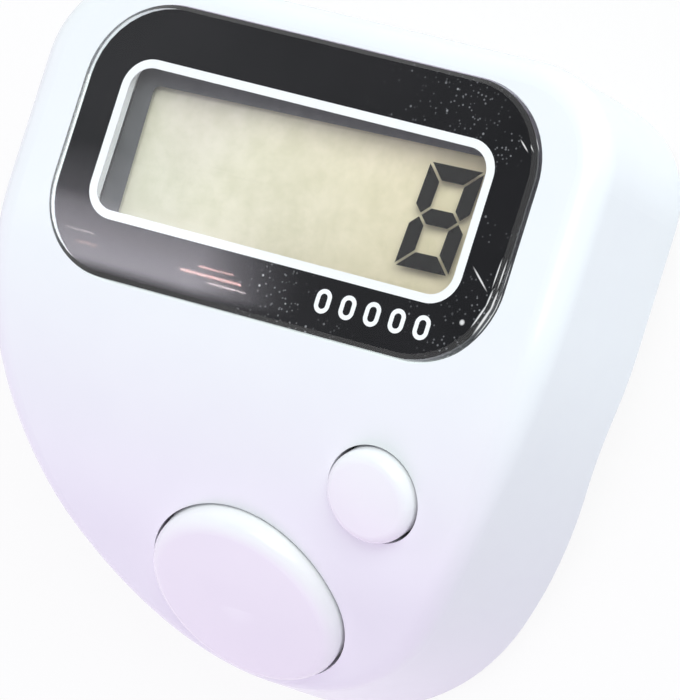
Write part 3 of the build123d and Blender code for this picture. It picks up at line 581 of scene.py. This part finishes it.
LOOKS = {
    "front_case": shell,
    "rear_cover": cover,
    "count_button": key,
    "reset_button": key,
    "lens": clear_lens(),
    "lens_adhesive": tape,
    "lcd_front_film": film,
    "lcd_front_glass": glass,
    "lcd_rear_glass": glass,
    "lcd_reflector": reflector(),
    "contact_strip": contact,
    "lcd_cushion": foam,
    "main_board": board,
    "switch_board": board,
    "chip_blob": resin,
    "resistor": resin,
    "capacitor": ceramic,
    "battery_cell": steel,
    "battery_clip": strip,
    "battery_leaf": strip,
    "switch_ribbon": polyimide,
    "count_dome": silicone,
    "reset_dome": silicone,
    "count_pill": carbon,
    "reset_pill": carbon,
    "cover_screws": screw,
    "board_screws": screw,
}

for name, material in LOOKS.items():
    mesh = nodes[name].data
    mesh.materials.clear()
    mesh.materials.append(material)

# Rubber domes, each copied into a mesh of its own on the case in place of the imported one
for name, (joint, foot, keep) in DOMES.items():
    dome = put(name + "_rubber", nodes[name].data.copy())
    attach(dome, "case")
    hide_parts(name)
    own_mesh(dome)

# Light reaches the display through the clear pieces
for name in ("lens", "lcd_front_film", "lcd_front_glass", "lcd_rear_glass"):
    nodes[name].visible_shadow = False
    nodes[name].visible_diffuse = False


def rounded(half, radius, centre, turn=0.0):
    """Corner-rounded rectangle as a ring of points, anticlockwise from the right side"""
    ring = []
    for k, (su, sv) in enumerate(QUARTERS):
        for i in range(CORNER_STEPS + 1):
            angle = (k + i / CORNER_STEPS) * pi / 2
            u = su * (half[0] - radius) + radius * cos(angle)
            v = sv * (half[1] - radius) + radius * sin(angle)
            across = centre[0] + u * cos(turn) - v * sin(turn)
            up = centre[1] + u * sin(turn) + v * cos(turn)
            ring.append((across, up))
    return ring


def plate(name, rings, top_w, material):
    """Thin closed plate of ink: one outline, or an outline and a hole of as many points"""
    bm = bmesh.new()

    def level(w):
        """Vertices of every ring at one height"""
        return [[bm.verts.new(at_display(u, v, w)) for u, v in ring] for ring in rings]

    upper = level(top_w)
    lower = level(top_w - INK_T)
    if len(rings) == 1:
        bm.faces.new(upper[0])
        bm.faces.new(lower[0][::-1])
    else:
        count = len(rings[0])
        for i in range(count):
            j = (i + 1) % count
            bm.faces.new((upper[0][i], upper[0][j], upper[1][j], upper[1][i]))
            bm.faces.new((lower[0][j], lower[0][i], lower[1][i], lower[1][j]))
    for r, ring in enumerate(rings):
        for i in range(len(ring)):
            j = (i + 1) % len(ring)
            quad = (upper[r][j], upper[r][i], lower[r][i], lower[r][j])
            bm.faces.new(quad if r == 0 else quad[::-1])
    bmesh.ops.recalc_face_normals(bm, faces=bm.faces)
    data = bpy.data.meshes.new(name)
    bm.to_mesh(data)
    bm.free()
    data.materials.append(material)
    obj = put(name, data)
    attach(obj, "case")


def white_ring(name, half, radius, centre, bar):
    """White printed ring on the rear of the lens; gives back the outline of its hole"""
    hole = rounded([h - bar for h in half], radius - bar, centre)
    plate(name, [rounded(half, radius, centre), hole], LINE_TOP_W, white_ink)
    return hole


line_hole = white_ring("lens_frame_line", LINE_HALF, LINE_R, LINE_AT, LINE_T)
print_outline = rounded(PRINT_HALF, PRINT_R, (0, LENS_V))
plate("lens_print", [print_outline, line_hole], PRINT_TOP_W, print_ink)
for i in range(NOUGHT_COUNT):
    nought_at = (NOUGHT_FIRST + i * NOUGHT_PITCH, NOUGHT_V)
    white_ring("nought_%d" % (i + 1), NOUGHT_HALF, NOUGHT_HALF[0], nought_at, NOUGHT_BAR)
# Dark grey frame round the display, at the plane of its digit
dark_frame_outline = rounded(DARK_FRAME_OUTER, DARK_FRAME_OUTER_R, (0, DARK_FRAME_OUTER_V))
dark_frame_hole = rounded(DARK_FRAME_HALF, DARK_FRAME_R, DARK_FRAME_AT, PANEL_TURN)
plate("display_dark_frame", [dark_frame_outline, dark_frame_hole], SEGMENT_TOP_W, dark_frame_grey)


def inset(shape, distance):
    """Anticlockwise convex outline drawn in by a distance on every side"""
    sides = []
    for (x0, y0), (x1, y1) in zip(shape, shape[1:] + shape[:1]):
        length = hypot(x1 - x0, y1 - y0)
        nx, ny = (y0 - y1) / length, (x1 - x0) / length
        sides.append((nx, ny, nx * x0 + ny * y0 + distance))
    points = []
    for (ax, ay, a), (bx, by, b) in zip(sides[-1:] + sides[:-1], sides):
        det = ax * by - ay * bx
        points.append(((a * by - ay * b) / det, (ax * b - a * bx) / det))
    return points


def digit_segments(width, height, bar):
    """Seven mitred bars of one display digit in a box, anticlockwise"""

    def over(shape):
        """Turned upside down"""
        return [(x, height - y) for x, y in shape][::-1]

    def across(shape):
        """Mirrored from left to right"""
        return [(width - x, y) for x, y in shape][::-1]

    waist = height / 2
    half = bar / 2
    top = [(0, height), (bar, height - bar), (width - bar, height - bar), (width, height)]
    middle = [
        (half, waist),
        (bar, waist - half),
        (width - bar, waist - half),
        (width - half, waist),
        (width - bar, waist + half),
        (bar, waist + half),
    ]
    upper_left = [(0, height), (0, waist + half), (half, waist), (bar, waist + half), (bar, height - bar)]
    return {
        "top": top,
        "middle": middle,
        "bottom": over(top),
        "upper_left": upper_left,
        "lower_left": over(upper_left),
        "upper_right": across(upper_left),
        "lower_right": across(over(upper_left)),
    }


digit_w, digit_h = hypot(*DIGIT_ACROSS), hypot(*DIGIT_UP)
for label, shape in digit_segments(digit_w, digit_h, DIGIT_BAR).items():
    placed = [
        tuple(DIGIT_LOW[k] + x / digit_w * DIGIT_ACROSS[k] + y / digit_h * DIGIT_UP[k] for k in (0, 1))
        for x, y in inset(shape, DIGIT_GAP / 2)
    ]
    plate("digit_" + label, [placed], SEGMENT_TOP_W, segment_ink)


def sees_background(tree):
    """1 for a ray from the camera, off gloss or through glass, and 0 for other light"""
    path = tree.nodes.new("ShaderNodeLightPath")
    out = path.outputs["Is Camera Ray"]
    for ray in ("Is Glossy Ray", "Is Transmission Ray"):
        most = tree.nodes.new("ShaderNodeMath")
        most.operation = "MAXIMUM"
        tree.links.new(out, most.inputs[0])
        tree.links.new(path.outputs[ray], most.inputs[1])
        out = most.outputs[0]
    return out


def mixed(tree, fac, a, b):
    """Shader a where the factor is 0, and b where it is 1"""
    blend = tree.nodes.new("ShaderNodeMixShader")
    for source, socket in zip((fac, a, b), blend.inputs):
        tree.links.new(source, socket)
    return blend.outputs[0]


def stage_sheet(name, half, place, material):
    """Flat sheet beside the object, square to the Z axis of its place"""
    data = bpy.data.meshes.new(name)
    corners = [(su * half[0] * MM, sv * half[1] * MM, 0) for su, sv in QUARTERS]
    data.from_pydata(corners, [], [(0, 1, 2, 3)])
    data.materials.append(material)
    obj = put(name, data)
    obj.matrix_world = place
    return obj


def pale_floor():
    """White paper that keeps the object's shadow; clear from below"""
    look = Look("floor_white", Base_Color=rgba(*PAPER_COLOUR), Roughness=PAPER_ROUGH)
    white = look.add("ShaderNodeEmission")
    look.set(white, Color=WHITE)
    share = look.add("ShaderNodeMath", operation="MULTIPLY")
    share.inputs[1].default_value = FLOOR_WHITE
    look.link(sees_background(look.tree), share.inputs[0])
    top = mixed(look.tree, share.outputs[0], look.bsdf.outputs[0], white.outputs[0])
    below = look.add("ShaderNodeNewGeometry").outputs["Backfacing"]
    clear = look.add("ShaderNodeBsdfTransparent").outputs[0]
    look.surface(mixed(look.tree, below, top, clear))
    return look.material


def mirrored_card():
    """Dim grey that fades to the right, with a glow at the lower left"""
    look = Look("card_grey")
    grey = look.mix(look.along("X", -CARD_FADE, CARD_FADE), rgba(*CARD_LEFT), rgba(*CARD_RIGHT))
    side = look.along("X", *GLOW_SIDE)
    edges = look.times(look.along("Y", *GLOW_EDGE), look.along("Y", *GLOW_FOOT))
    band = look.times(edges, look.span(look.along("Y", *GLOW_RISE), *GLOW_RANGE))
    haze = look.span(look.along("Y", *HAZE_RISE), 0.0, HAZE)
    glow = look.times(look.times(side, side), look.plus(band, haze))
    light = look.add("ShaderNodeEmission")
    look.link(look.plus(grey, look.times(glow, rgba(*GLOW_COLOUR))), light.inputs["Color"])
    look.surface(light.outputs[0])
    return look.material


def studio_world():
    """Soft pale light, white where it is seen"""
    world = bpy.data.worlds.new("studio")
    world.use_nodes = True
    tree = world.node_tree
    soft = tree.nodes["Background"]
    soft.inputs["Color"].default_value = rgba(*SKY_COLOUR)
    soft.inputs["Strength"].default_value = SKY_STRENGTH
    white = tree.nodes.new("ShaderNodeBackground")
    white.inputs["Color"].default_value = WHITE
    sky = mixed(tree, sees_background(tree), soft.outputs[0], white.outputs[0])
    tree.links.new(sky, tree.nodes["World Output"].inputs["Surface"])
    return world


def lamp(name, at, target, size, power, colour):
    """Soft rectangular lamp, placed and aimed in the display frame"""
    data = bpy.data.lights.new(name, "AREA")
    data.shape = "RECTANGLE"
    data.size, data.size_y = (s * MM for s in size)
    data.energy = power
    data.color = colour
    obj = put(name, data)
    turn = (Vector(at) - Vector(target)).to_track_quat("Z", "Y").to_matrix().to_4x4()
    obj.matrix_world = FACE @ Matrix.Translation(Vector(at) * MM) @ turn
    return obj


def view_camera():
    """Camera at the picture's view"""
    data = bpy.data.cameras.new("camera")
    data.sensor_fit = "VERTICAL"
    data.sensor_height = SENSOR
    data.lens = FOCAL_PX * SENSOR / PICTURE_H
    data.clip_start = CLIP_START * MM
    data.clip_end = CLIP_END * MM
    obj = put("camera", data)
    axes = Matrix((VIEW_RIGHT, VIEW_UP, VIEW_BACK)).transposed()
    spot = axes @ (Vector(VIEW_CENTRE) * MM)
    obj.matrix_world = FACE @ Matrix.Translation(spot) @ axes.to_4x4()
    return obj


stage_sheet("floor", FLOOR_HALF, Matrix.Translation((0, 0, -FLOOR_DROP * MM)), pale_floor())
card_place = FACE @ Matrix.Translation(Vector(CARD_AT) * MM)
card = stage_sheet("card", CARD_HALF, card_place, mirrored_card())
for ray in ("camera", "diffuse", "transmission", "shadow"):
    setattr(card, "visible_" + ray, False)

lamp("key_lamp", *KEY_LAMP)

# The fill lamps don't show in gloss
for name, settings in FILL_LAMPS.items():
    lamp(name, *settings).visible_glossy = False

# The power of a streak follows from its glow and its area
for i, (left, right, v, height, glow, colour) in enumerate(STREAKS):
    u = (left + right) / 2
    width = right - left
    power = glow * pi * width * height * MM * MM
    lamp("streak_lamp_%d" % (i + 1), (u, v, STREAK_W), (u, v, 0), (width, height), power, colour)

scene = bpy.context.scene
scene.world = studio_world()
scene.camera = view_camera()
scene.view_settings.view_transform = "Standard"
